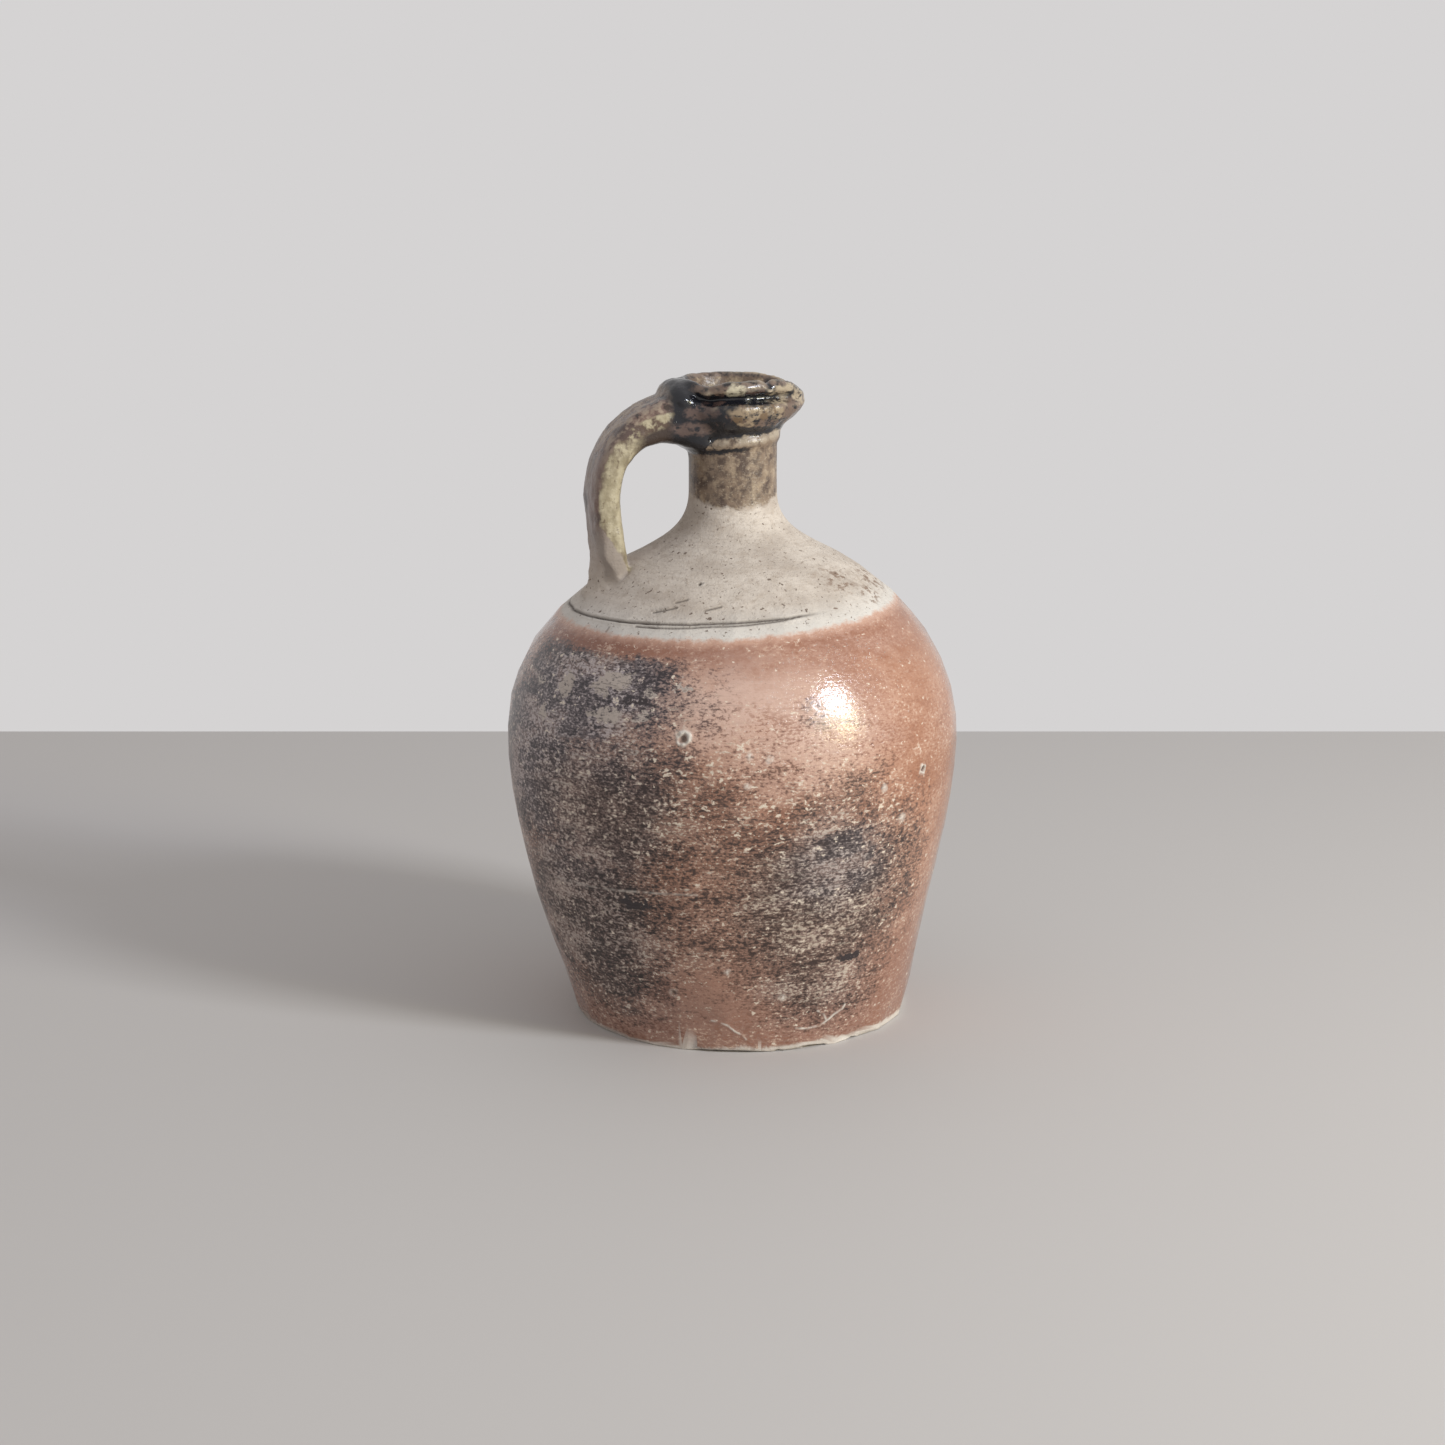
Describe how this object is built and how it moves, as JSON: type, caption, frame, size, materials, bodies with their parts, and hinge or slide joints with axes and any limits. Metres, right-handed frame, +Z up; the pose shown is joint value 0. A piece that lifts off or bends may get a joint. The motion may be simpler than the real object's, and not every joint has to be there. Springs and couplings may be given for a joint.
{
  "type": "juglet",
  "caption": "Wheel-thrown stoneware juglet with a broad body, a narrow neck, a rolled collar with a pinched pouring lip and one strap handle.",
  "frame": {"origin": "centre of the foot, on the surface the jug stands on", "axes": "+Z up along the thrown axis, +X towards the pouring lip, the handle on -X"},
  "size_m": [0.154, 0.154, 0.2175],
  "materials": {
    "salt_glazed_stoneware": "salt glaze over orange-brown stoneware, with an unglazed grey-beige shoulder and a dark glazed collar"
  },
  "bodies": {
    "root": {"jug": "salt_glazed_stoneware"}
  },
  "joints": []
}
